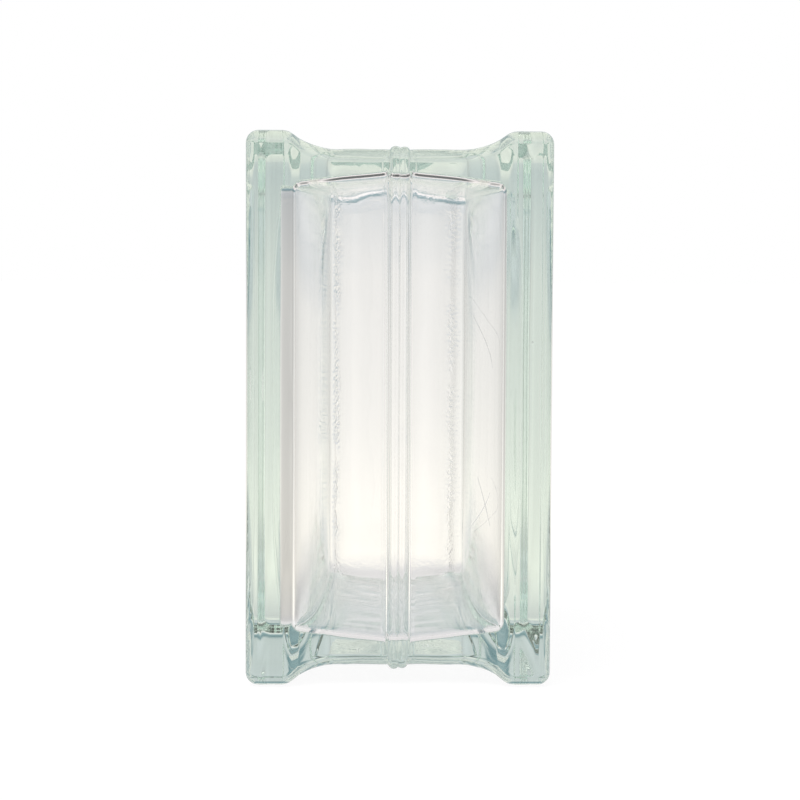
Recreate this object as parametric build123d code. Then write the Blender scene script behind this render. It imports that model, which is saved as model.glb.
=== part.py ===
"""Hollow glass block: two pressed glass halves fused along a seam into one sealed unit.

The block stands on its edge as it does in a wall. X runs through its thickness, from one glazed
face to the other, Y runs along the wall and Z points up. The origin is at the centre of its base.
"""

from build123d import *
import os

# Overall size, in millimetres
BLOCK_SIDE = 145.0
BLOCK_THICKNESS = 80.0

# Rounding of the block's corners, as seen on a face, and of the face's own edges
CORNER_RADIUS = 3.6
FACE_EDGE_RADIUS = 3.3

# Mortar channel that runs round all four edges, between the two flanges
FLANGE_WIDTH = 10.9
FLANGE_EDGE_RADIUS = 5.0
CHANNEL_DEPTH = 4.6
CHANNEL_FLAT = 32.0
SWEEP_RISE = 2.4
FLANK_RUN = 3.1
FLANK_FOOT_RADIUS = 4.0

# Sealed cavity, pressed with a draft that opens towards the seam. The face glass is measured at
# its rim, and thins towards the middle by the crown of its inside
FACE_GLASS = 9.0
PLATE_CROWN = 3.0
WALL_AT_SEAM = 5.1
CAVITY_DRAFT = 5.8
CAVITY_CORNER_RADIUS = 3.2
CAVITY_FLOOR_RADIUS = 2.6

# Rims of the two halves, squeezed out as a double bead where they were fused
BEAD_SPACING = 2.0
BEAD_RADIUS = 1.8
OUTER_BEAD_HEIGHT = 1.0
INNER_BEAD_HEIGHT = 0.8

# Worked out from the sizes above
HALF_SIDE = BLOCK_SIDE / 2
HALF_THICKNESS = BLOCK_THICKNESS / 2
CHANNEL_FLOOR = HALF_SIDE - CHANNEL_DEPTH
CAVITY_HALF = CHANNEL_FLOOR - WALL_AT_SEAM
CAVITY_DEPTH = HALF_THICKNESS - FACE_GLASS
SAME_PLACE = 1e-4


def quarter_section():
    """A quarter of the block's section across an edge: half the thickness by half the side.

    The top runs from the seam along the flat channel floor, up a shallow arc that is tangent to
    the floor, up the flank and out along the flange to the face.
    """
    flange_edge = (HALF_THICKNESS - FLANGE_WIDTH, HALF_SIDE)
    flank_foot = (flange_edge[0] - FLANK_RUN, CHANNEL_FLOOR + SWEEP_RISE)
    floor_end = (CHANNEL_FLAT / 2, CHANNEL_FLOOR)
    outline = Line((0, 0), (0, CHANNEL_FLOOR))
    outline += Line((0, CHANNEL_FLOOR), floor_end)
    outline += TangentArc(floor_end, flank_foot, tangent=(1, 0))
    outline += Polyline(flank_foot, flange_edge, (HALF_THICKNESS, HALF_SIDE), (HALF_THICKNESS, 0), (0, 0))
    section = make_face(outline)
    for corner, radius in ((flank_foot, FLANK_FOOT_RADIUS), (flange_edge, FLANGE_EDGE_RADIUS)):
        place = Vector(*corner)
        at_corner = section.vertices().filter_by(lambda v: (Vector(v) - place).length < SAME_PLACE)
        section = fillet(at_corner, radius)
    return section


def edge_section():
    """The whole section across an edge, made of four mirrored quarters."""
    quarter = quarter_section()
    half = quarter + mirror(quarter, about=Plane.YZ)
    return half + mirror(half, about=Plane.XZ)


def lies_on_mitre(edge):
    """True for an edge along a corner of the block, where two of its sides meet."""
    points = [edge.position_at(share) for share in (0, 0.5, 1)]
    return all(abs(abs(p.Y) - abs(p.Z)) < SAME_PLACE for p in points)


def outer_body():
    """The block's outside: the edge section carried both ways, with its corners and edges rounded."""
    section = edge_section()
    body = extrude(Plane.XZ * section, HALF_SIDE, both=True) & extrude(section, HALF_SIDE, both=True)
    body = fillet(body.edges().filter_by(lies_on_mitre), CORNER_RADIUS)
    faces = body.faces().sort_by(Axis.X)
    return fillet(faces[0].edges() + faces[-1].edges(), FACE_EDGE_RADIUS)


def seam_beads(half_size, corner_radius, rise):
    """The two rims beside the seam, round beads that overlap and leave a crease between them.

    half_size and corner_radius are those of the wall at the seam, and rise is how far the beads'
    centres lie outside it, or inside it where it is negative.
    """
    centre = half_size + rise
    path = (Plane.YZ * RectangleRounded(2 * centre, 2 * centre, corner_radius + rise)).wire()
    rims = Plane.XZ * GridLocations(BEAD_SPACING, 0, 2, 1) * Circle(BEAD_RADIUS)
    return [sweep(Pos(0, 0, centre) * rim, path=path) for rim in rims]


def runs_inwards(edge):
    """True for an edge that runs from the cavity's mouth to its floor."""
    return abs(edge.position_at(1).X - edge.position_at(0).X) > SAME_PLACE


def crowned(floor):
    """A pocket's flat floor, swollen outwards in the middle and still straight along its four rims."""
    half = floor.bounding_box().size.Y / 2
    places = [half * share for share in (-1, -0.5, 0, 0.5, 1)]
    swell = (0, 2, 0, 2, 0)
    points = [
        [Vector(CAVITY_DEPTH + PLATE_CROWN * across * up, y, z) for z, up in zip(places, swell)]
        for y, across in zip(places, swell)
    ]
    return Face.make_bezier_surface(points)


def cavity():
    """The sealed air space: two drafted pockets that meet at the seam, with crowned, rounded floors."""
    mouth = Plane.YZ * Rectangle(2 * CAVITY_HALF, 2 * CAVITY_HALF)
    *walls, flat_floor = extrude(mouth, CAVITY_DEPTH, taper=CAVITY_DRAFT).faces().sort_by(Axis.X)
    pocket = Solid(Shell([*walls, crowned(flat_floor)]))
    pocket = fillet(pocket.edges().filter_by(runs_inwards), CAVITY_CORNER_RADIUS)
    floor = pocket.faces().sort_by(Axis.X)[-1]
    pocket = fillet(floor.edges(), CAVITY_FLOOR_RADIUS)
    space = pocket + mirror(pocket, about=Plane.YZ)
    for bead in seam_beads(CAVITY_HALF, CAVITY_CORNER_RADIUS, BEAD_RADIUS - INNER_BEAD_HEIGHT):
        space -= bead
    return space


def glass_block():
    """The fused block, one solid round its sealed cavity, with its base on the ground."""
    block = outer_body()
    for bead in seam_beads(CHANNEL_FLOOR, CORNER_RADIUS, OUTER_BEAD_HEIGHT - BEAD_RADIUS):
        block += bead
    return Pos(0, 0, HALF_SIDE) * (block - cavity())


def main():
    """Builds the block and writes it."""
    os.makedirs("parts", exist_ok=True)
    export_step(glass_block(), "parts/glass_block.step")


if __name__ == "__main__":
    main()
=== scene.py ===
"""Looks of a hollow glass block: two pressed glass halves fused along a beaded seam.

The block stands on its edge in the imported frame, in metres. X runs through its thickness, Y along
the wall and Z up, with the origin under its middle. One glass piece stands for the block: its
outside, its sealed cavity, the air seeds in the glass and the hairs of glass in the cavity are the
faces of one mesh, so that light loses colour only where it runs through glass.
"""

import logging
import math
from dataclasses import dataclass
from enum import Enum

import bpy
import numpy as np
from mathutils import Euler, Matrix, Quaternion, Vector

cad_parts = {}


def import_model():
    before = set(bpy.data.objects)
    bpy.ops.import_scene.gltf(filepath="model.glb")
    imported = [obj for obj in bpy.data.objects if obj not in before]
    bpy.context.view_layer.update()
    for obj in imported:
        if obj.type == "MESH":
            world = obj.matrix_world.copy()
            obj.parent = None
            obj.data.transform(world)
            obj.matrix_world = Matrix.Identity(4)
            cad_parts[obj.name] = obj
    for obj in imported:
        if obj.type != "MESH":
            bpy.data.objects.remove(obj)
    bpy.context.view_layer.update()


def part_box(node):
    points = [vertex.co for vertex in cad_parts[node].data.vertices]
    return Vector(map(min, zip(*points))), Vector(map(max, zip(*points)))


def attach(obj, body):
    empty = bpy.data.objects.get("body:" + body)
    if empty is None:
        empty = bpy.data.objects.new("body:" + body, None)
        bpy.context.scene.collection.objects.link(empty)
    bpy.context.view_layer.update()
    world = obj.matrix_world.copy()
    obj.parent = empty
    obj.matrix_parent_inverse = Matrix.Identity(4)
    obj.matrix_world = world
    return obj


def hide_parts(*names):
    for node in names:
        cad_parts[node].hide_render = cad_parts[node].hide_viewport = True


MM = 0.001
NODE = "glass_block"
GRAIN = "grain"
WHITE = (1.0, 1.0, 1.0, 1.0)
ALONG_X = np.array((1.0, 0.0, 0.0))
ALONG_Z = np.array((0.0, 0.0, 1.0))
ACROSS_X = np.array((0.0, 1.0, 1.0))
MIRROR_X = np.array((-1.0, 1.0, 1.0))
CROWN_POWER = 4
Value = bpy.types.NodeSocket | float | tuple
Inputs = dict[str | int, Value]
Colour = tuple[float, float, float]
log = logging.getLogger("glass_block")


def arc(centre: tuple[float, float], radius: float, start: float, end: float, steps: int) -> np.ndarray:
    """Points along a circle's arc: the centre plus the radius turned through evenly spaced angles.

    Args:
        centre: The circle's centre.
        radius: The circle's radius.
        start: The first angle, in degrees.
        end: The last angle, in degrees.
        steps: How many spans the arc has.

    Returns:
        An array of steps + 1 points.
    """
    angle = np.radians(np.linspace(start, end, steps + 1))
    return np.asarray(centre) + radius * np.column_stack((np.cos(angle), np.sin(angle)))


def line(first: tuple[float, float], last: tuple[float, float], steps: int) -> np.ndarray:
    """Evenly spaced points from one point to another.

    Args:
        first: The first point.
        last: The last point.
        steps: How many spans the line has.

    Returns:
        An array of steps + 1 points.
    """
    share = np.linspace(0.0, 1.0, steps + 1)[:, None]
    return (1 - share) * np.asarray(first) + share * np.asarray(last)


def rounded_corner(before: np.ndarray, corner: np.ndarray, after: np.ndarray, radius: float,
                   steps: int) -> np.ndarray:
    """The arc that rounds a corner and touches both of its sides.

    Its centre lies on the line that halves the corner, at the radius over the sine of half the
    corner's angle.

    Args:
        before: A point on the side that comes in.
        corner: The sharp corner.
        after: A point on the side that goes out.
        radius: The radius of the rounding.
        steps: How many spans the arc has.

    Returns:
        An array of steps + 1 points from the first side to the second.
    """
    inward = (before - corner) / np.linalg.norm(before - corner)
    outward = (after - corner) / np.linalg.norm(after - corner)
    half = math.acos(float(np.clip(inward @ outward, -1.0, 1.0))) / 2
    middle = (inward + outward) / np.linalg.norm(inward + outward)
    centre = corner + middle * radius / math.sin(half)
    first = corner + inward * radius / math.tan(half) - centre
    last = corner + outward * radius / math.tan(half) - centre
    start = math.degrees(math.atan2(first[1], first[0]))
    turn = math.degrees(math.atan2(last[1], last[0])) - start
    turn = (turn + 180.0) % 360.0 - 180.0
    return arc(tuple(centre), radius, start, start + turn, steps)


def both_halves(right: np.ndarray) -> np.ndarray:
    """Adds the mirrored left half to the right half of a section.

    Args:
        right: Rows of (x, half size, corner radius) from the middle row outwards.

    Returns:
        Rows from the far left to the far right, with the middle row once.
    """
    return np.concatenate((right[:0:-1] * MIRROR_X, right))


def smooth_step(share: np.ndarray) -> np.ndarray:
    """Eases from 0 to 1: 3 s^2 - 2 s^3 of the share held between 0 and 1."""
    held = np.clip(share, 0.0, 1.0)
    return held * held * (3.0 - 2.0 * held)


@dataclass(frozen=True)
class Waves:
    """A smooth random field: a sum of plane waves with random directions and phases, near 1 at most.

    Args:
        seed: The seed of the random draws.
        longest: The longest wavelength, in millimetres.
        shortest: The shortest wavelength, in millimetres.
        lean: How much of a wave's heading lies along X, Y and Z.
        count: How many waves are added up.
    """

    seed: int
    longest: float
    shortest: float
    lean: tuple[float, float, float] = (1.0, 1.0, 1.0)
    count: int = 36

    def at(self, points: np.ndarray) -> np.ndarray:
        """The field's height: the sum of sin(2 pi direction . point / wavelength + phase), made about 1.

        Args:
            points: An array of points, whose last axis is x, y and z.

        Returns:
            An array of heights, one for each point.
        """
        rng = np.random.default_rng(self.seed)
        heading = rng.normal(size=(self.count, 3)) * self.lean
        heading /= np.linalg.norm(heading, axis=1, keepdims=True)
        span = math.log(self.shortest * MM), math.log(self.longest * MM)
        length = np.exp(rng.uniform(*span, self.count))
        phase = rng.uniform(0.0, 2 * math.pi, self.count)
        angle = points @ (heading * (2 * math.pi / length)[:, None]).T + phase
        return np.sin(angle).sum(axis=-1) / math.sqrt(2.0 * self.count)

    def patches(self, points: np.ndarray, level: float = 0.5) -> np.ndarray:
        """The field as soft patches from 0 to 1: half of its height about a level, eased.

        Args:
            points: An array of points, whose last axis is x, y and z.
            level: The level where the field is 0. A higher one gives wider patches.

        Returns:
            An array of shares, one for each point.
        """
        return smooth_step(level + 0.5 * self.at(points))


@dataclass(frozen=True)
class Ring:
    """A rounded square as points that any size and corner radius can share.

    A point of the ring is (half - radius) * square + radius * bend, where square runs round a unit
    square and bend turns through the corners. It starts in the middle of a corner, so that each of
    its quarters is a side with half a corner at both ends.

    Args:
        side_steps: How many spans a straight side has.
        corner_steps: How many spans a corner has, an even number.
    """

    side_steps: int
    corner_steps: int

    @property
    def quarter(self) -> int:
        """How many points a quarter of the ring has."""
        return self.side_steps + self.corner_steps

    def parts(self) -> tuple[np.ndarray, np.ndarray]:
        """Works out the first quarter and turns it round by right angles.

        Returns:
            The ring's square and bend arrays, each of 4 * quarter points in Y and Z.
        """
        half = self.corner_steps // 2
        angle = np.concatenate((np.linspace(-45.0, 0.0, half + 1), np.zeros(self.side_steps - 1),
                                np.linspace(0.0, 45.0, half + 1)[:-1]))
        along = np.concatenate((np.full(half, -1.0), np.linspace(-1.0, 1.0, self.side_steps + 1),
                                np.full(half - 1, 1.0)))
        angle = np.radians(angle)
        square = np.column_stack((np.ones_like(along), along))
        bend = np.column_stack((np.cos(angle), np.sin(angle)))
        turn = np.array(((0.0, -1.0), (1.0, 0.0)))
        turns = [np.linalg.matrix_power(turn, k).T for k in range(4)]
        return np.concatenate([square @ t for t in turns]), np.concatenate([bend @ t for t in turns])

    def normals(self) -> np.ndarray:
        """The outward direction at each point of the ring, in X, Y and Z."""
        bend = self.parts()[1]
        return np.column_stack((np.zeros(len(bend)), bend))

    def carry(self, section: np.ndarray) -> np.ndarray:
        """Carries a section round the ring.

        Args:
            section: Rows of (x, half size, corner radius).

        Returns:
            A grid of points: one row for each row of the section, one column for each ring point.
        """
        square, bend = self.parts()
        x, half, radius = (section[:, k, None] for k in range(3))
        y = (half - radius) * square[:, 0] + radius * bend[:, 0]
        z = (half - radius) * square[:, 1] + radius * bend[:, 1]
        return np.stack((np.broadcast_to(x, y.shape), y, z), axis=-1)

    def cap(self, rim: np.ndarray) -> np.ndarray:
        """Fills a rim with a square grid whose four edges are the rim's quarters.

        Each inner point is the sum of the two straight blends between opposite edges, less the
        blend of the four corners.

        Args:
            rim: The rim's points, 4 * quarter of them.

        Returns:
            A grid of (quarter + 1) by (quarter + 1) points.
        """
        n = self.quarter
        loop = np.concatenate((rim, rim[:1]))
        low, high = loop[: n + 1], loop[2 * n : 3 * n + 1][::-1]
        right, left = loop[n : 2 * n + 1], loop[3 * n :][::-1]
        share = np.linspace(0.0, 1.0, n + 1)
        u, v = share[:, None, None], share[None, :, None]
        across = (1 - v) * low[:, None] + v * high[:, None]
        up = (1 - u) * left[None] + u * right[None]
        corners = ((1 - u) * (1 - v) * low[0] + u * (1 - v) * low[-1]
                   + (1 - u) * v * high[0] + u * v * high[-1])
        return across + up - corners


class Relief:
    """The small unevenness of a surface. This plain one is even everywhere."""

    def on_band(self, grid: np.ndarray) -> tuple[np.ndarray, np.ndarray]:
        """How far each point of a carried section moves along X and outwards.

        Args:
            grid: The carried section's points.

        Returns:
            Two arrays of distances, one for each point.
        """
        return np.zeros(grid.shape[:-1]), np.zeros(grid.shape[:-1])

    def on_cap(self, grid: np.ndarray) -> np.ndarray:
        """How far each point of a cap moves outwards along X.

        Args:
            grid: The cap's points.

        Returns:
            An array of distances, one for each point.
        """
        return np.zeros(grid.shape[:-1])

    def grain(self, points: np.ndarray) -> np.ndarray:
        """How grainy the surface is at each point, from 0 to 1."""
        return np.zeros(len(points))


@dataclass
class Skin:
    """One closed surface of the glass: a section carried round a ring, with a grid over each end.

    Args:
        ring: The ring that the section is carried round.
        section: Rows of (x, half size, corner radius), from the left cap to the right one.
        relief: The surface's unevenness.
    """

    ring: Ring
    section: np.ndarray
    relief: Relief

    def band(self) -> np.ndarray:
        """Carries the section round the ring and moves its points by the relief.

        Returns:
            A grid of points: one row for each row of the section.
        """
        grid = self.ring.carry(self.section)
        sideways, outwards = self.relief.on_band(grid)
        return grid + sideways[..., None] * ALONG_X + outwards[..., None] * self.ring.normals()

    def caps(self, band: np.ndarray) -> tuple[np.ndarray, np.ndarray]:
        """Fills the band's two ends and moves their points by the relief.

        Args:
            band: The band's grid of points.

        Returns:
            The grids of points over the left end and the right one.
        """
        left, right = self.ring.cap(band[0]), self.ring.cap(band[-1])
        return (left - self.relief.on_cap(left)[..., None] * ALONG_X,
                right + self.relief.on_cap(right)[..., None] * ALONG_X)

    def faces(self) -> np.ndarray:
        """Joins neighbouring points of the band and of both caps into quads that face outwards.

        Returns:
            Rows of four indices into points().
        """
        rows, count = len(self.section), 4 * self.ring.quarter
        row, column = np.meshgrid(np.arange(rows - 1), np.arange(count), indexing="ij")
        ahead = (column + 1) % count
        band = np.stack((row * count + column, row * count + ahead, (row + 1) * count + ahead,
                         (row + 1) * count + column), axis=-1).reshape(-1, 4)
        left = self.cap_indices(0, rows * count)
        inner = (self.ring.quarter - 1) ** 2
        right = self.cap_indices((rows - 1) * count, rows * count + inner)
        return np.concatenate((band, self.cap_quads(left)[:, ::-1], self.cap_quads(right)))

    def cap_indices(self, rim_start: int, inner_start: int) -> np.ndarray:
        """The indices of a cap's grid: the rim's own points on its edges, new points inside.

        Args:
            rim_start: The index of the rim's first point.
            inner_start: The index of the cap's first inner point.

        Returns:
            A square grid of indices.
        """
        n = self.ring.quarter
        rim = rim_start + np.arange(4 * n + 1) % (4 * n)
        grid = np.zeros((n + 1, n + 1), int)
        grid[:, 0], grid[:, -1] = rim[: n + 1], rim[2 * n : 3 * n + 1][::-1]
        grid[-1, :], grid[0, :] = rim[n : 2 * n + 1], rim[3 * n :][::-1]
        grid[1:-1, 1:-1] = inner_start + np.arange((n - 1) ** 2).reshape(n - 1, n - 1)
        return grid

    @staticmethod
    def cap_quads(grid: np.ndarray) -> np.ndarray:
        """The quads between neighbouring points of a cap's grid."""
        corners = (grid[:-1, :-1], grid[1:, :-1], grid[1:, 1:], grid[:-1, 1:])
        return np.stack(corners, axis=-1).reshape(-1, 4)

    def points(self) -> np.ndarray:
        """Gathers the points of the whole skin.

        Returns:
            The band's points, then the inner points of the left cap and of the right cap.
        """
        band = self.band()
        left, right = self.caps(band)
        inner = [cap[1:-1, 1:-1].reshape(-1, 3) for cap in (left, right)]
        return np.concatenate((band.reshape(-1, 3), *inner))


@dataclass(frozen=True)
class DoubleBead:
    """The seam's two beads, side by side on the surface of the glass.

    Args:
        height: How far a bead stands above the surface.
        steps: How many spans the arc of a bead has.
        spacing: The distance between the middles of the beads.
        radius: The radius of a bead.
    """

    height: float
    steps: int
    spacing: float = 2.0 * MM
    radius: float = 1.8 * MM

    def half(self, level: float, side: float) -> np.ndarray:
        """The arc of one bead, from the crease between the two down to the surface.

        Args:
            level: How far from the block's middle the surface lies.
            side: 1 for beads outside the block, -1 for beads in the cavity.

        Returns:
            Rows of (x, half size).
        """
        crease = math.degrees(math.acos(-self.spacing / 2 / self.radius))
        foot = math.degrees(math.asin((self.radius - self.height) / self.radius))
        centre = (self.spacing / 2, level + side * (self.height - self.radius))
        return arc(centre, self.radius, side * crease, side * foot, self.steps)


@dataclass
class EdgeSection:
    """The block's outline across an edge, from one face to the other, in metres.

    Args:
        half_side: Half the block's height, to the flanges.
        half_thickness: Half the distance between the faces.
        corner_radius: The radius of the block's corners.
        face_edge_radius: The radius between a flange and a face.
        flange_width: The width of a flange.
        flange_edge_radius: The radius between a flange and the channel's flank.
        channel_depth: How far the channel's flat floor lies below the flanges.
        channel_flat: The width of the channel's flat floor.
        sweep_rise: How far the channel's sweep rises from the floor to the foot of the flank.
        flank_run: How far the flank runs sideways from its foot to the flange.
        foot_radius: The radius at the foot of the flank.
        sweep_gap: The least distance between the sweep's last row and the rounded foot.
        bead: The seam's beads.
        flat_steps, sweep_steps, foot_steps: How many spans the floor, sweep and rounded foot have.
        flank_steps, flange_steps, edge_steps: Likewise the flank, the flange and its rounded edges.
    """

    half_side: float
    half_thickness: float
    corner_radius: float = 3.6 * MM
    face_edge_radius: float = 3.3 * MM
    flange_width: float = 10.9 * MM
    flange_edge_radius: float = 5.0 * MM
    channel_depth: float = 4.6 * MM
    channel_flat: float = 32.0 * MM
    sweep_rise: float = 2.4 * MM
    flank_run: float = 3.1 * MM
    foot_radius: float = 4.0 * MM
    sweep_gap: float = 0.2 * MM
    bead: DoubleBead = DoubleBead(height=1.0 * MM, steps=18)
    flat_steps: int = 6
    sweep_steps: int = 20
    foot_steps: int = 8
    flank_steps: int = 2
    flange_steps: int = 8
    edge_steps: int = 10

    @property
    def floor(self) -> float:
        """Half the block's size across the flat floor of the mortar channel."""
        return self.half_side - self.channel_depth

    def half(self) -> np.ndarray:
        """Lays out the bead, flat floor, sweep, foot, flank, flange and its edges one after another.

        The sweep is an arc that leaves the flat floor level. Its radius is that of the circle
        through the foot of the flank: (run^2 + rise^2) / (2 rise).

        Returns:
            Rows of (x, half size) from the seam's crease to the start of the face.
        """
        flat_end = np.array((self.channel_flat / 2, self.floor))
        flange = np.array((self.half_thickness - self.flange_width, self.half_side))
        foot = np.array((flange[0] - self.flank_run, self.floor + self.sweep_rise))
        run, rise = foot - flat_end
        radius = (run**2 + rise**2) / (2 * rise)
        climb = math.asin(run / radius)
        sweep = arc((flat_end[0], self.floor + radius), radius, -90.0, math.degrees(climb) - 90.0,
                    self.sweep_steps)
        before_foot = foot - np.array((math.cos(climb), math.sin(climb)))
        foot_round = rounded_corner(before_foot, foot, flange, self.foot_radius, self.foot_steps)
        flange_round = rounded_corner(foot, flange, np.array((self.half_thickness, self.half_side)),
                                      self.flange_edge_radius, self.edge_steps)
        face_start = self.half_thickness - self.face_edge_radius
        face_round = arc((face_start, self.half_side - self.face_edge_radius), self.face_edge_radius,
                         90.0, 0.0, self.edge_steps)
        bead = self.bead.half(self.floor, 1.0)
        sweep = sweep[sweep[:, 0] < foot_round[0, 0] - self.sweep_gap]
        flat = line(tuple(bead[-1]), tuple(flat_end), self.flat_steps)
        flank = line(tuple(foot_round[-1]), tuple(flange_round[0]), self.flank_steps)
        top = line(tuple(flange_round[-1]), (face_start, self.half_side), self.flange_steps)
        return np.concatenate((bead, flat[1:-1], sweep, foot_round, flank[1:-1], flange_round,
                               top[1:-1], face_round))

    def rows(self) -> np.ndarray:
        """Gives each row its corner radius, which shrinks as the rounded edge turns to the face.

        Returns:
            Rows of (x, half size, corner radius) from the left face to the right one.
        """
        x, size = self.half().T
        past_edge = np.where(x > self.half_thickness - self.face_edge_radius, self.half_side - size, 0.0)
        return both_halves(np.column_stack((x, size, self.corner_radius - past_edge)))


@dataclass
class CavitySection:
    """The sealed cavity's outline across an edge: drafted walls that meet at the seam, in metres.

    Args:
        half_at_seam: Half the cavity's height where the halves meet.
        half_depth: Half the distance between the rims of the face plates' insides.
        draft: How far the walls lean in towards the face plates, in degrees.
        crown: How much further out the middle of a face plate's inside lies than its rim.
        corner_radius: The radius of the cavity's corners at the seam.
        plate_radius: The radius between a wall and a face plate.
        wall_gap: The distance from the bead to the wall's first row.
        bead: The seam's beads.
        wall_steps, plate_steps: How many spans a wall and the rounding at a face plate have.
    """

    half_at_seam: float
    half_depth: float
    draft: float = 5.8
    crown: float = 3.0 * MM
    corner_radius: float = 3.2 * MM
    plate_radius: float = 2.6 * MM
    wall_gap: float = 0.4 * MM
    bead: DoubleBead = DoubleBead(height=0.8 * MM, steps=10)
    wall_steps: int = 24
    plate_steps: int = 9

    def wall(self, x: np.ndarray | float) -> np.ndarray | float:
        """Half the cavity's height between the drafted walls, at a distance from the seam."""
        return self.half_at_seam - math.tan(math.radians(self.draft)) * x

    def half(self) -> np.ndarray:
        """Lays out the bead, the drafted wall and the rounding at the face plate.

        The rounding ends on the slope that the crowned plate has at its rim.

        Returns:
            Rows of (x, half size) from the inner bead's crease to the start of the face plate.
        """
        seam = np.array((0.0, self.half_at_seam))
        corner = np.array((self.half_depth, self.wall(self.half_depth)))
        inside = np.array((self.half_depth + CROWN_POWER * self.crown, 0.0))
        plate_round = rounded_corner(seam, corner, inside, self.plate_radius, self.plate_steps)
        bead = self.bead.half(self.half_at_seam, -1.0)
        start = bead[-1, 0] + self.wall_gap
        wall = line((start, self.wall(start)), tuple(plate_round[0]), self.wall_steps)
        return np.concatenate((bead, wall[:-1], plate_round))

    def rows(self) -> np.ndarray:
        """Gives each row its corner radius, which shrinks as the wall turns to the face plate.

        Returns:
            Rows of (x, half size, corner radius) from the left face plate to the right one.
        """
        x, size = self.half().T
        past_wall = np.maximum(self.wall(x) - size, 0.0)
        shrink = np.where(x > self.half_depth - self.plate_radius, past_wall, 0.0)
        return both_halves(np.column_stack((x, size, self.corner_radius - shrink)))


@dataclass(frozen=True)
class OuterRelief(Relief):
    """Unevenness of the outside: swirls in the channel near the corners and a wandering, uneven seam.

    The faces and flanges only sink, so that they stay inside the block's box.

    Args:
        half_side: Half the block's height.
        floor: Half the block's size across the channel floor.
        channel_half: Half the channel's width.
        channel_ease: The distance over which the swirls fade at the channel's edges.
        swirl: The height of the swirls by the corners.
        calm_swirl: Their height between the corners.
        corner_reach: How far from a corner the strong swirls start.
        corner_ease: The distance over which they reach their full height.
        sink: How far the faces and flanges sink at most.
        face_ease: The distance from the face's edge over which the sinking comes in.
        wander: How far the seam wanders sideways.
        seam_reach: How far from the seam's middle it still moves the glass.
        squash: The share of its height that a bead loses on average.
        squash_spread: How much that share varies along the seam.
        squash_lean: How much more the right bead loses, and the left one less.
        most_squash: The most that a bead loses.
        bead_shift: How far apart in the field of waves the two beads are read.
        swirl_waves: The waves of the swirls.
        flange_waves, face_waves: The waves in which the flanges and the faces sink.
        wander_waves, squash_waves: The waves of the seam's wandering and of the beads' lost height.
    """

    half_side: float
    floor: float
    channel_half: float
    channel_ease: float = 4.0 * MM
    swirl: float = 0.1 * MM
    calm_swirl: float = 0.014 * MM
    corner_reach: float = 26.0 * MM
    corner_ease: float = 18.0 * MM
    sink: float = 0.03 * MM
    face_ease: float = 20.0 * MM
    wander: float = 0.22 * MM
    seam_reach: float = 4.0 * MM
    squash: float = 0.18
    squash_spread: float = 0.14
    squash_lean: float = 0.1
    most_squash: float = 0.5
    bead_shift: float = 0.5
    swirl_waves: Waves = Waves(11, 15, 6)
    flange_waves: Waves = Waves(12, 60, 25)
    face_waves: Waves = Waves(15, 70, 25)
    wander_waves: Waves = Waves(13, 90, 18)
    squash_waves: Waves = Waves(14, 40, 7)

    def on_band(self, grid: np.ndarray) -> tuple[np.ndarray, np.ndarray]:
        """Moves the channel by waves, strongest near the corners, and the seam by slower ones.

        Args:
            grid: The carried section's points.

        Returns:
            Two arrays of distances, along X and outwards, one for each point.
        """
        x = grid[..., 0]
        away = np.abs(grid[..., 1:])
        in_channel = smooth_step((self.channel_half - np.abs(x)) / self.channel_ease)
        by_corner = smooth_step((away.min(axis=-1) - self.half_side + self.corner_reach) / self.corner_ease)
        height = self.calm_swirl + (self.swirl - self.calm_swirl) * by_corner
        swirled = self.swirl_waves.at(grid) * in_channel * height
        sunk = self.sink * (1 - in_channel) * self.flange_waves.patches(grid)
        by_seam = smooth_step((self.seam_reach - np.abs(x)) / self.seam_reach)
        place = grid * ACROSS_X
        sideways = self.wander * by_seam * self.wander_waves.at(place)
        standing = np.maximum(away.max(axis=-1) - self.floor, 0.0) * by_seam
        side = np.sign(x)
        varied = self.squash_waves.at(place + self.bead_shift * side[..., None] * ALONG_X)
        lost = self.squash + self.squash_spread * varied + self.squash_lean * side
        return sideways, swirled - sunk - standing * np.clip(lost, 0.0, self.most_squash)

    def on_cap(self, grid: np.ndarray) -> np.ndarray:
        """Sinks the faces a little in long waves.

        Args:
            grid: The face's points.

        Returns:
            An array of distances outwards along X, one for each point.
        """
        inside = smooth_step((self.half_side - np.abs(grid[..., 1:]).max(axis=-1)) / self.face_ease)
        return -self.sink * inside * self.face_waves.patches(grid)


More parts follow.
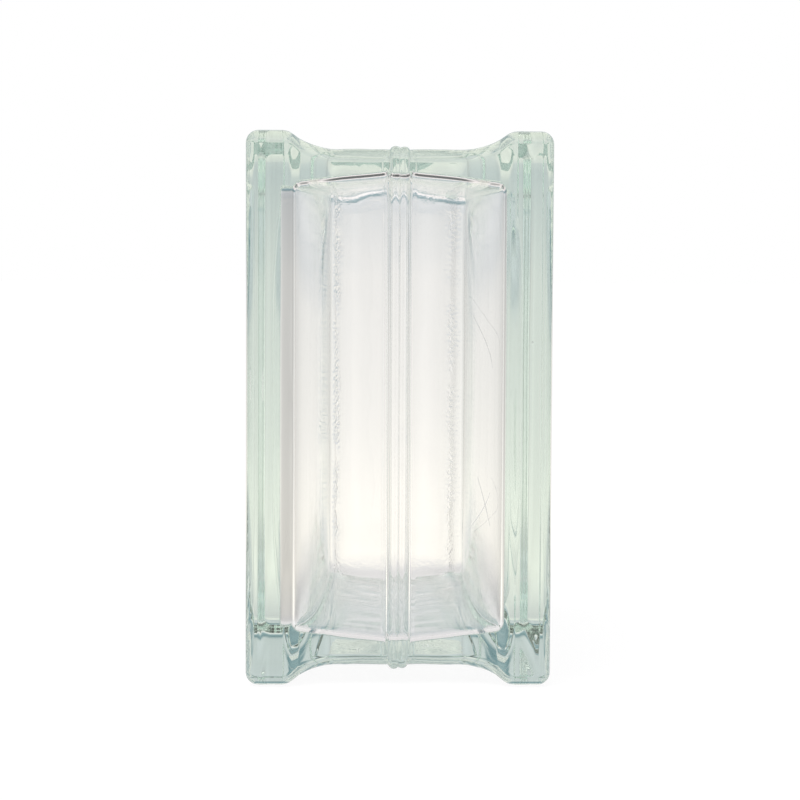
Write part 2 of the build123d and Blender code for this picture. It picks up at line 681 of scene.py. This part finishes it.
@dataclass(frozen=True)
class CavityRelief(Relief):
    """Unevenness of the cavity: ripples where the glass met the cold plunger, crowned plates and grain.

    The grain lies in two upright strips of the wall at the far end of Y, and on the half of the
    floor and of the roof beside that wall.

    Args:
        half_at_seam: Half the cavity's height at the seam.
        half_depth: Half the distance between the rims of the face plates' insides.
        crown: How much further out the middle of a face plate's inside lies than its rim.
        ripple: The height of the ripples on the cavity's floor.
        calm_share: The share of that height on the other walls.
        cross_share: The height of short cross ripples on the floor, as a share of the long ones.
        floor_ease: The distance over which the floor's ripples fade at its corners.
        plate_ease: The distance from the face plates over which the ripples come in.
        seam_gap: How far from the seam the ripples start.
        seam_ease: The distance over which they then come in.
        plate_ripple: The height of the ripples on the face plates.
        rim_ease: The distance from a face plate's rim over which they come in.
        grain_line: How far from the seam the grainy strips lie.
        grain_reach: The distance over which a strip fades to each side.
        grain_edge: How far from its middle a strip ends, in those distances.
        right_share: The right strip's grain as a share of the left one's.
        level_share: The grain of the floor and roof as a share of the left strip's.
        level_fade: The length over which the floor's and roof's grain fades along Y.
        wall_reach: How far from a wall its grain still reaches round a corner.
        wall_ease: The distance over which it fades there.
        patch_level: The level that sets how wide the patches of grain are.
        ripple_waves, cross_waves, plate_waves: The waves of the ripples, long and short, and of the plates.
        grain_waves: The waves that set the patches of grain.
    """

    half_at_seam: float
    half_depth: float
    crown: float
    ripple: float = 0.03 * MM
    calm_share: float = 0.1
    cross_share: float = 0.08
    floor_ease: float = 8.0 * MM
    plate_ease: float = 5.0 * MM
    seam_gap: float = 2.0 * MM
    seam_ease: float = 4.0 * MM
    plate_ripple: float = 0.04 * MM
    rim_ease: float = 8.0 * MM
    grain_line: float = 26.0 * MM
    grain_reach: float = 3.2 * MM
    grain_edge: float = 1.3
    right_share: float = 0.25
    level_share: float = 0.3
    level_fade: float = 60.0 * MM
    wall_reach: float = 8.0 * MM
    wall_ease: float = 4.0 * MM
    patch_level: float = 0.75
    ripple_waves: Waves = Waves(21, 22, 8)
    cross_waves: Waves = Waves(22, 9, 4.5, (0.15, 1.0, 0.15))
    plate_waves: Waves = Waves(23, 45, 14)
    grain_waves: Waves = Waves(24, 30, 7)

    def on_band(self, grid: np.ndarray) -> tuple[np.ndarray, np.ndarray]:
        """Ripples the walls, the upright ones and the roof less than the floor.

        Args:
            grid: The carried section's points.

        Returns:
            Two arrays of distances, along X and outwards, one for each point.
        """
        x, y, z = np.moveaxis(grid, -1, 0)
        on_floor = smooth_step(0.5 - (z + np.abs(y)) / self.floor_ease)
        share = self.calm_share + (1 - self.calm_share) * on_floor
        off_plate = smooth_step((self.half_depth - np.abs(x)) / self.plate_ease)
        off_seam = smooth_step((np.abs(x) - self.seam_gap) / self.seam_ease)
        cross = self.cross_share * self.cross_waves.at(grid) * on_floor
        height = self.ripple * (self.ripple_waves.at(grid) + cross)
        return np.zeros_like(x), height * share * off_plate * off_seam

    def on_cap(self, grid: np.ndarray) -> np.ndarray:
        """Crowns the insides of the face plates, which thins the plates, and ripples them.

        The crown is 1 less the fourth power of the place between middle and rim, across and up,
        and the product of both.

        Args:
            grid: The face plate's points.

        Returns:
            An array of distances outwards along X, one for each point.
        """
        away = np.abs(grid[..., 1:])
        half = away.max()
        crown = (1 - (away / half) ** CROWN_POWER).prod(axis=-1)
        inside = smooth_step((half - away.max(axis=-1)) / self.rim_ease)
        return self.crown * crown + self.plate_ripple * inside * self.plate_waves.at(grid)

    def by_wall(self, away: np.ndarray) -> np.ndarray:
        """How much a point belongs to a wall, from 0 to 1, by its distance from the block's middle."""
        return smooth_step((away - self.half_at_seam + self.wall_reach) / self.wall_ease)

    def grain(self, points: np.ndarray) -> np.ndarray:
        """Makes two strips of the far wall grainy, the left one more, and the floor and roof near it.

        Args:
            points: The cavity's points.

        Returns:
            How grainy the glass is at each point, from 0 to 1.
        """
        x, y, z = points.T
        strip = smooth_step(self.grain_edge - np.abs(np.abs(x) - self.grain_line) / self.grain_reach)
        side = np.where(x < 0, 1.0, self.right_share)
        on_level = self.by_wall(np.abs(z)) * smooth_step(0.5 + y / self.level_fade)
        patchy = self.grain_waves.patches(points, self.patch_level)
        return patchy * np.maximum(side * strip * self.by_wall(y), self.level_share * on_level)


@dataclass(frozen=True)
class FineRound:
    """A thin round body of few faces: a small rounded square carried along X.

    Args:
        ring: The small rounded square.
        rounding: Its corner radius as a share of its half size.
    """

    ring: Ring = Ring(side_steps=1, corner_steps=2)
    rounding: float = 0.6

    def skin(self, spots: np.ndarray, half: np.ndarray) -> Skin:
        """The body's closed skin.

        Args:
            spots: Where its rows lie along X.
            half: Half its width at each row.

        Returns:
            The skin, with no relief.
        """
        return Skin(self.ring, np.column_stack((spots, half, self.rounding * half)), Relief())


@dataclass(frozen=True)
class Seed:
    """A tiny air bubble in the glass, drawn out along Z.

    Args:
        centre: Its place from the block's middle, in millimetres.
        radius: Its radius, in millimetres.
        stretch: How many times longer than wide it is.
        last_row: How far from its waist its first and last rows lie, in degrees of its round.
        steps: How many spans it has between them.
    """

    centre: tuple[float, float, float]
    radius: float
    stretch: float = 1.0
    last_row: float = 75.0
    steps: int = 6

    def skin(self) -> tuple[np.ndarray, np.ndarray]:
        """Builds the bubble: a ball by rows of cosine and sine, stretched along Z.

        Returns:
            The bubble's points and its quads, which face its air.
        """
        angle = np.radians(np.linspace(-self.last_row, self.last_row, self.steps + 1))
        radius = self.radius * MM
        ball = FineRound().skin(radius * np.sin(angle), radius * np.cos(angle))
        points = ball.points()[:, [1, 2, 0]] * np.array((1.0, 1.0, self.stretch))
        return points + np.array(self.centre) * MM, ball.faces()[:, ::-1]


@dataclass(frozen=True)
class Thread:
    """A hair of glass that lies along a curve inside the cavity.

    Args:
        knots: Points of the curve from the block's middle, in millimetres.
        radius: The hair's radius, in millimetres.
        tip: The radius at its ends, as a share of that in its middle.
        steps: How many spans it has along the curve.
    """

    knots: tuple[tuple[float, float, float], ...]
    radius: float
    tip: float = 0.35
    steps: int = 40

    def skin(self) -> tuple[np.ndarray, np.ndarray]:
        """Builds the hair: a round section laid along the polynomial that runs through the knots.

        Returns:
            The hair's points and its quads, which face the air round it.
        """
        knots = np.array(self.knots) * MM
        powers = np.arange(len(knots))
        share = np.linspace(0.0, 1.0, len(knots))
        factors = np.linalg.solve(share[:, None] ** powers, knots)
        spots = np.linspace(0.0, 1.0, self.steps + 1)
        swell = np.sqrt(np.sin(math.pi * spots))
        tube = FineRound().skin(spots, self.radius * MM * (self.tip + (1 - self.tip) * swell))
        points = tube.points()
        middle = points[:, :1] ** powers @ factors
        return middle + points[:, 1:2] * ALONG_X + points[:, 2:] * ALONG_Z, tube.faces()


class Sum(Enum):
    """What a node works out of one or two numbers."""

    PRODUCT = "MULTIPLY"
    GREATER = "MAXIMUM"
    SIZE = "ABSOLUTE"
    RISE = "ARCSINE"
    TURN = "ARCTAN2"


class VectorSum(Enum):
    """What a node works out of one or two vectors."""

    DIFFERENCE = "SUBTRACT"
    HEADING = "NORMALIZE"


class Blend(Enum):
    """How a node joins two colours."""

    FADE = "MIX"
    PRODUCT = "MULTIPLY"


@dataclass
class Shading:
    """A node tree that grows one filled-in node at a time.

    Args:
        tree: The node tree.
    """

    tree: bpy.types.NodeTree

    def fill(self, node: bpy.types.Node, inputs: Inputs) -> None:
        """Sets or links inputs of a node.

        Args:
            node: The node.
            inputs: Its inputs by name or number, each a value or another node's output.
        """
        for name, value in inputs.items():
            if isinstance(value, bpy.types.NodeSocket):
                self.tree.links.new(value, node.inputs[name])
            else:
                node.inputs[name].default_value = value

    def add(self, kind: str, inputs: Inputs | None = None, **settings: str) -> bpy.types.Node:
        """Adds a node.

        Args:
            kind: The node's type.
            inputs: Its inputs by name or number, each a value or another node's output.
            settings: Its own fields.

        Returns:
            The node.
        """
        node = self.tree.nodes.new(kind)
        for name, setting in settings.items():
            setattr(node, name, setting)
        self.fill(node, inputs or {})
        return node

    def dress(self, name: str, inputs: Inputs) -> None:
        """Sets or links inputs of a node that the tree came with."""
        self.fill(self.tree.nodes[name], inputs)

    def remove(self, name: str) -> None:
        """Removes a node that the tree came with."""
        self.tree.nodes.remove(self.tree.nodes[name])

    def number(self, operation: Sum, first: Value, second: Value = 0.0) -> bpy.types.NodeSocket:
        """A number worked out of one or two others."""
        return self.add("ShaderNodeMath", {0: first, 1: second}, operation=operation.value).outputs["Value"]

    def vector(self, operation: VectorSum, inputs: Inputs) -> bpy.types.NodeSocket:
        """A vector worked out of one or two others."""
        return self.add("ShaderNodeVectorMath", inputs, operation=operation.value).outputs["Vector"]

    def colour(self, share: Value, first: Value, second: Value, way: Blend) -> bpy.types.NodeSocket:
        """A colour joined of two."""
        inputs = {"Factor": share, "A": first, "B": second}
        return self.add("ShaderNodeMix", inputs, data_type="RGBA", blend_type=way.value).outputs["Result"]

    def surface(self, share: Value, first: Value, second: Value) -> bpy.types.NodeSocket:
        """A shader blended of two."""
        return self.add("ShaderNodeMixShader", {"Fac": share, 1: first, 2: second}).outputs["Shader"]

    def noise(self, place: bpy.types.NodeSocket, scale: float, detail: float) -> bpy.types.NodeSocket:
        """A level from 0 to 1 that wanders from place to place."""
        inputs = {"Vector": place, "Scale": scale, "Detail": detail}
        return self.add("ShaderNodeTexNoise", inputs).outputs["Fac"]

    def bump(self, level: bpy.types.NodeSocket, height: float, **under: Value) -> bpy.types.NodeSocket:
        """The direction of a surface that a level raises by up to a height, over the one under it."""
        inputs = {"Height": level, "Distance": height, "Strength": 1.0, **under}
        return self.add("ShaderNodeBump", inputs).outputs["Normal"]

    def eased(self, value: Value, low: float, high: float) -> bpy.types.NodeSocket:
        """A number that goes smoothly from 0 to 1 as a value goes from low to high."""
        inputs = {"Value": value, "From Min": low, "From Max": high, "To Min": 0.0, "To Max": 1.0}
        return self.add("ShaderNodeMapRange", inputs, interpolation_type="SMOOTHSTEP").outputs["Result"]

    def ramp(self, angle: Value, stops: tuple[tuple[float, Colour], ...]) -> bpy.types.NodeSocket:
        """A colour by angle, which goes straight from stop to stop.

        Args:
            angle: The angle in radians.
            stops: Pairs of an angle in degrees and a colour, from the least angle to the greatest.

        Returns:
            The colour's socket.
        """
        low, high = stops[0][0], stops[-1][0]
        span = {"Value": angle, "From Min": math.radians(low), "From Max": math.radians(high)}
        share = self.add("ShaderNodeMapRange", span).outputs["Result"]
        colours = self.add("ShaderNodeValToRGB", {"Fac": share})
        while len(colours.color_ramp.elements) < len(stops):
            colours.color_ramp.elements.new(1.0)
        for element, (spot, colour) in zip(colours.color_ramp.elements, stops):
            element.position = (spot - low) / (high - low)
            element.color = (*colour, 1.0)
        return colours.outputs["Color"]


@dataclass(frozen=True)
class PressedGlass:
    """Clear pressed glass with a faint green tint that shows where light runs far through it.

    Args:
        ior: How strongly the glass bends light.
        tint: The colour that thick glass turns to.
        density: How fast it turns, per metre.
        ripple_scale, grain_scale: How many fine ripples and how many grains lie in a metre.
        ripple_detail, grain_detail: How many finer layers they have.
        ripple_height, grain_height: Their full height.
    """

    ior: float = 1.5
    tint: Colour = (0.2, 0.56, 0.38)
    density: float = 2.5
    ripple_scale: float = 160.0
    ripple_detail: float = 1.0
    ripple_height: float = 0.003 * MM
    grain_scale: float = 900.0
    grain_detail: float = 2.0
    grain_height: float = 1.5 * MM

    def material(self) -> bpy.types.Material:
        """Makes the material: smooth refracting glass, a fine ripple, grain by attribute, and tinted depth.

        Returns:
            The material.
        """
        material = bpy.data.materials.new("pressed_glass")
        material.use_nodes = True
        shading = Shading(material.node_tree)
        place = shading.add("ShaderNodeTexCoord").outputs["Object"]
        ripple = shading.noise(place, self.ripple_scale, self.ripple_detail)
        grain = shading.noise(place, self.grain_scale, self.grain_detail)
        share = shading.add("ShaderNodeAttribute", attribute_name=GRAIN).outputs["Fac"]
        rippled = shading.bump(ripple, self.ripple_height)
        grained = shading.bump(shading.number(Sum.PRODUCT, grain, share), self.grain_height, Normal=rippled)
        shading.dress("Principled BSDF", {"Base Color": WHITE, "Transmission Weight": 1.0, "Roughness": 0.0,
                                          "IOR": self.ior, "Normal": grained})
        tinted = {"Color": (*self.tint, 1.0), "Density": self.density}
        depth = shading.add("ShaderNodeVolumeAbsorption", tinted).outputs["Volume"]
        shading.dress("Material Output", {"Volume": depth})
        return material


def make_mesh(name: str, points: np.ndarray, quads: np.ndarray) -> bpy.types.Object:
    """Puts points and quads into a new mesh object with smooth shading.

    Args:
        name: The object's name.
        points: The vertices.
        quads: Rows of four vertex indices.

    Returns:
        The new object, linked to the scene at the origin.
    """
    mesh = bpy.data.meshes.new(name)
    mesh.vertices.add(len(points))
    mesh.vertices.foreach_set("co", points.astype(np.float32).ravel())
    mesh.loops.add(quads.size)
    mesh.loops.foreach_set("vertex_index", quads.astype(np.int32).ravel())
    mesh.polygons.add(len(quads))
    mesh.polygons.foreach_set("loop_start", np.arange(0, quads.size, 4, dtype=np.int32))
    mesh.polygons.foreach_set("use_smooth", np.ones(len(quads), bool))
    mesh.update(calc_edges=True)
    mesh.validate()
    piece = bpy.data.objects.new(name, mesh)
    bpy.context.scene.collection.objects.link(piece)
    return piece


@dataclass
class GlassBlock:
    """The fused block: its outside, its cavity, its seeds and its hairs as one glass mesh.

    Args:
        low: The lowest corner of the block's box.
        high: The highest corner of the block's box.
        face_glass: The thickness of a face plate at its rim.
        wall_at_seam: The thickness of the wall under the mortar channel at the seam.
        outer_ring, cavity_ring: The rings that the outside and the cavity are carried round.
        finish: The glass.
        seeds: The air bubbles in the glass.
        threads: The hairs of glass on the right face plate.
        thread_grain: How grainy the hairs are, from 0 to 1.
    """

    low: Vector
    high: Vector
    face_glass: float = 9.0 * MM
    wall_at_seam: float = 5.1 * MM
    outer_ring: Ring = Ring(side_steps=52, corner_steps=10)
    cavity_ring: Ring = Ring(side_steps=72, corner_steps=6)
    finish: PressedGlass = PressedGlass()
    seeds: tuple[Seed, ...] = (
        Seed((35.2, -60.0, 17.6), 0.26),
        Seed((-35.8, -58.0, 6.0), 0.13, 38.0),
        Seed((34.0, 22.0, -31.0), 0.2, 2.0),
        Seed((-33.0, 40.0, 38.0), 0.16),
        Seed((36.0, -12.0, 51.0), 0.14, 3.0),
        Seed((-12.0, 4.0, 65.6), 0.2),
        Seed((17.0, -65.2, 12.0), 0.12),
    )
    threads: tuple[Thread, ...] = (
        Thread(((30.6, 50.0, 28.5), (30.6, 10.0, 25.0),
                (30.6, -28.0, 19.0), (30.6, -46.0, 10.0)), 0.16),
        Thread(((30.6, -20.0, -22.0), (30.6, -34.0, -27.0),
                (30.6, -44.0, -33.0)), 0.14),
        Thread(((30.6, -44.0, -24.0), (30.6, -22.0, -33.0),
                (30.6, 20.0, -42.0)), 0.14),
    )
    thread_grain: float = 0.5

    def edge(self) -> EdgeSection:
        """The outline across an edge, at half the box's height and half its thickness."""
        half = (self.high - self.low) / 2
        return EdgeSection(half.z, half.x)

    def outside(self) -> Skin:
        """Makes the outer skin.

        Returns:
            The skin.
        """
        edge = self.edge()
        relief = OuterRelief(edge.half_side, edge.floor, edge.half_thickness - edge.flange_width)
        return Skin(self.outer_ring, edge.rows(), relief)

    def cavity(self) -> Skin:
        """Makes the skin of the sealed cavity.

        Returns:
            The skin.
        """
        edge = self.edge()
        section = CavitySection(edge.floor - self.wall_at_seam, edge.half_thickness - self.face_glass)
        relief = CavityRelief(section.half_at_seam, section.half_depth, section.crown)
        return Skin(self.cavity_ring, section.rows(), relief)

    def build(self) -> bpy.types.Object:
        """Builds the mesh of all skins, with the faces round air turned towards it, and dresses it.

        Returns:
            The block.
        """
        outside, cavity = self.outside(), self.cavity()
        cavity_points = cavity.points()
        skins = [(outside.points(), outside.faces()), (cavity_points, cavity.faces()[:, ::-1])]
        skins += [detail.skin() for detail in (*self.seeds, *self.threads)]
        starts = np.cumsum([0] + [len(points) for points, _ in skins])
        points = np.concatenate([points for points, _ in skins]) + np.array((self.low + self.high) / 2)
        quads = np.concatenate([faces + start for (_, faces), start in zip(skins, starts)])
        block = make_mesh("glass_block_piece", points, quads)
        grain = np.zeros(len(points), np.float32)
        grain[starts[1] : starts[2]] = cavity.relief.grain(cavity_points)
        grain[starts[-1 - len(self.threads)] :] = self.thread_grain
        block.data.attributes.new(GRAIN, "FLOAT", "POINT").data.foreach_set("value", grain)
        block.data.materials.append(self.finish.material())
        return block


@dataclass
class Studio:
    """The pale floor, the surroundings that the glass shows, the lamp and the camera.

    The surroundings are a colour by height, from a light floor over a pale horizon and a dark band to
    a soft light and a dark ceiling, times a grey by side. Both were set in trial renders and after a
    fit to the photo's tones, so that the glass shows the light and dark that it has there.

    Args:
        middle: The block's middle.
        half_length: Half the block's length along Y.
        floor_size: The floor's width.
        floor_gap: How far the floor lies below the block.
        floor_grey: The floor's own colour.
        floor_glow: How light the floor is to the eye.
        shadow_share: How much of the floor's own colour, with its shadow, the eye sees.
        lamp_strength: The lamp's strength.
        lamp_spread: How wide the lamp is, in degrees.
        lamp_heading: Where the lamp's light goes.
        camera_distance: The camera's distance from the near edge.
        camera_rise: How far above the block's middle the camera stands.
        camera_pitch: How far the camera looks down, in degrees.
        camera_turn: How far round the block the camera stands, in degrees.
        camera_yaw: How far beside the block's middle the camera aims, in degrees.
        camera_roll: How far the camera leans, in degrees.
        sensor, lens: The width of the camera's sensor and its focal length, in millimetres.
        heights: Pairs of a height above the horizon, in degrees, and a colour. On the floor, seen from
        the block's middle, the lowest ones are painted shade under and right beside the block and a
        painted pool of light round it.
        sides: Pairs of a turn from straight ahead of the camera, in degrees, and a grey.
        steep: The sines of the heights between which the greys by side fade to white.
        bounces, glossy_bounces: How often light is followed on through glass and in reflections.
    """

    middle: Vector
    half_length: float
    floor_size: float = 60.0
    floor_gap: float = 0.3 * MM
    floor_grey: float = 0.9
    floor_glow: float = 1.04
    shadow_share: float = 0.1
    lamp_strength: float = 2.2
    lamp_spread: float = 50.0
    lamp_heading: tuple[float, float, float] = (0.3, 0.25, -1.0)
    camera_distance: float = 565.0 * MM
    camera_rise: float = 35.0 * MM
    camera_pitch: float = 3.27
    camera_turn: float = 1.1
    camera_yaw: float = 0.018
    camera_roll: float = 0.26
    sensor: float = 36.0
    lens: float = 98.1
    heights: tuple[tuple[float, Colour], ...] = (
        # Below about -19 degrees these fall on the floor near the block: painted shade under and right
        # beside it, then a painted pool of light round it.
        (-90.0, (0.78, 0.75, 0.77)),
        (-35.0, (0.78, 0.76, 0.76)),
        (-19.0, (1.13, 1.08, 1.0)),
        (-9.0, (1.05, 1.01, 0.95)),
        (0.0, (0.88, 0.86, 0.84)),
        (3.0, (0.68, 0.7, 0.72)),
        (7.0, (0.78, 0.79, 0.82)),
        (11.0, (0.72, 0.74, 0.75)),
        (17.0, (0.2, 0.32, 0.36)),
        (24.0, (0.36, 0.48, 0.52)),
        (33.0, (1.15, 1.08, 1.08)),
        (46.0, (1.08, 1.0, 0.98)),
        (60.0, (0.15, 0.15, 0.15)),
        (90.0, (0.02, 0.02, 0.02)),
    )
    sides: tuple[tuple[float, float], ...] = (
        (0.0, 0.88),
        (10.0, 0.97),
        (35.0, 0.82),
        (72.0, 0.56),
        (110.0, 0.86),
        (140.0, 1.3),
        (180.0, 1.35),
    )
    steep: tuple[float, float] = (0.6, 0.8)
    bounces: int = 40
    glossy_bounces: int = 24

    def floor(self) -> None:
        """Lays a wide pale floor under the block."""
        across = np.array((-0.5, 0.5, 0.5, -0.5)) * self.floor_size
        along = np.array((-0.5, -0.5, 0.5, 0.5)) * self.floor_size
        points = np.column_stack((across, along, np.full(4, -self.floor_gap)))
        floor = make_mesh("floor", points, np.arange(4).reshape(1, 4))
        floor.data.materials.append(self.floor_material())

    def floor_material(self) -> bpy.types.Material:
        """Makes a floor that is white with a trace of shadow to the eye, and coloured to the glass.

        The glass sees a spot of the floor in the colour of its direction from the block's middle, so that
        it shows painted shade under and right beside the block and a painted pool of light round it.

        Returns:
            The material.
        """
        material = bpy.data.materials.new("pale_floor")
        material.use_nodes = True
        shading = Shading(material.node_tree)
        shading.remove("Principled BSDF")
        spot = shading.add("ShaderNodeTexCoord").outputs["Object"]
        seen = shading.vector(VectorSum.DIFFERENCE, {0: spot, 1: (0.0, 0.0, self.middle.z)})
        # The floor's colour to the glass: painted shade under and beside the block, a painted pool of light
        # round it, the surroundings further out.
        colour = self.shown(shading, shading.vector(VectorSum.HEADING, {0: seen}))
        grey = (self.floor_grey, self.floor_grey, self.floor_grey, 1.0)
        pale = shading.add("ShaderNodeBsdfDiffuse", {"Color": grey}).outputs["BSDF"]
        glow = shading.add("ShaderNodeEmission", {"Strength": self.floor_glow}).outputs["Emission"]
        shown = shading.add("ShaderNodeEmission", {"Color": colour}).outputs["Emission"]
        path = shading.add("ShaderNodeLightPath").outputs
        by_glass = shading.number(Sum.GREATER, path["Is Glossy Ray"], path["Is Transmission Ray"])
        to_eye = shading.surface(self.shadow_share, glow, pale)
        to_rest = shading.surface(by_glass, pale, shown)
        floor = shading.surface(path["Is Camera Ray"], to_rest, to_eye)
        shading.dress("Material Output", {"Surface": floor})
        return material

    def surroundings(self) -> None:
        """Makes the world: white to the eye, and the surroundings' colours to the glass."""
        world = bpy.data.worlds.new("studio")
        bpy.context.scene.world = world
        world.use_nodes = True
        shading = Shading(world.node_tree)
        shading.remove("Background")
        heading = shading.add("ShaderNodeTexCoord").outputs["Generated"]
        colour = self.shown(shading, heading)
        shown = shading.add("ShaderNodeBackground", {"Color": colour}).outputs["Background"]
        white = shading.add("ShaderNodeBackground", {"Color": WHITE}).outputs["Background"]
        to_eye = shading.add("ShaderNodeLightPath").outputs["Is Camera Ray"]
        shading.dress("World Output", {"Surface": shading.surface(to_eye, shown, white)})

    def shown(self, shading: Shading, heading: bpy.types.NodeSocket) -> bpy.types.NodeSocket:
        """What the glass shows of the surroundings: a colour by height, lighter or darker by side.

        Args:
            shading: The node tree.
            heading: The direction, as a vector of length 1.

        Returns:
            The colour's socket.
        """
        axes = shading.add("ShaderNodeSeparateXYZ", {"Vector": heading}).outputs
        by_height = shading.ramp(shading.number(Sum.RISE, axes["Z"]), self.heights)
        turn = shading.number(Sum.SIZE, shading.number(Sum.TURN, axes["X"], axes["Y"]))
        by_side = shading.ramp(turn, tuple((angle, (grey, grey, grey)) for angle, grey in self.sides))
        steep = shading.eased(shading.number(Sum.SIZE, axes["Z"]), *self.steep)
        grey = shading.colour(steep, by_side, WHITE, Blend.FADE)
        return shading.colour(1.0, by_height, grey, Blend.PRODUCT)

    def lamp(self) -> None:
        """Hangs one wide soft lamp above, which shades the floor and isn't seen in the glass."""
        lamp = bpy.data.lights.new("overhead", "SUN")
        lamp.energy = self.lamp_strength
        lamp.angle = math.radians(self.lamp_spread)
        holder = bpy.data.objects.new("overhead", lamp)
        holder.rotation_euler = Vector(self.lamp_heading).to_track_quat("-Z", "Y").to_euler()
        holder.visible_glossy = False
        holder.visible_transmission = False
        bpy.context.scene.collection.objects.link(holder)

    def camera(self) -> None:
        """Sets the camera at the photo's place, a little above the middle of the block's narrow edge."""
        data = bpy.data.cameras.new("camera")
        data.sensor_width = self.sensor
        data.lens = self.lens
        eye = bpy.data.objects.new("camera", data)
        turn = math.radians(self.camera_turn)
        back = self.half_length + self.camera_distance * math.cos(turn)
        aside = self.camera_distance * math.sin(turn)
        eye.location = (self.middle.x - aside, self.middle.y - back, self.middle.z + self.camera_rise)
        aim = Euler((math.radians(90.0 - self.camera_pitch), 0.0, -turn - math.radians(self.camera_yaw)))
        roll = Quaternion((0.0, 0.0, 1.0), math.radians(self.camera_roll))
        eye.rotation_euler = (aim.to_quaternion() @ roll).to_euler()
        bpy.context.scene.collection.objects.link(eye)
        bpy.context.scene.camera = eye

    def build(self) -> None:
        """Builds the floor, surroundings, lamp and camera and sets how light is followed and shown."""
        self.floor()
        self.surroundings()
        self.lamp()
        self.camera()
        scene = bpy.context.scene
        scene.view_settings.view_transform = "Standard"
        scene.cycles.max_bounces = self.bounces
        scene.cycles.transmission_bounces = self.bounces
        scene.cycles.glossy_bounces = self.glossy_bounces


def main() -> None:
    """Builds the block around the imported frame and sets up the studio."""
    logging.basicConfig(level=logging.INFO)
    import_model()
    low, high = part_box(NODE)
    block = GlassBlock(low, high).build()
    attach(block, "root")
    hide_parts(NODE)
    mesh = block.data
    log.info("%s has %d vertices and %d quads", block.name, len(mesh.vertices), len(mesh.polygons))
    Studio((low + high) / 2, (high.y - low.y) / 2).build()


if __name__ == "__main__":
    main()
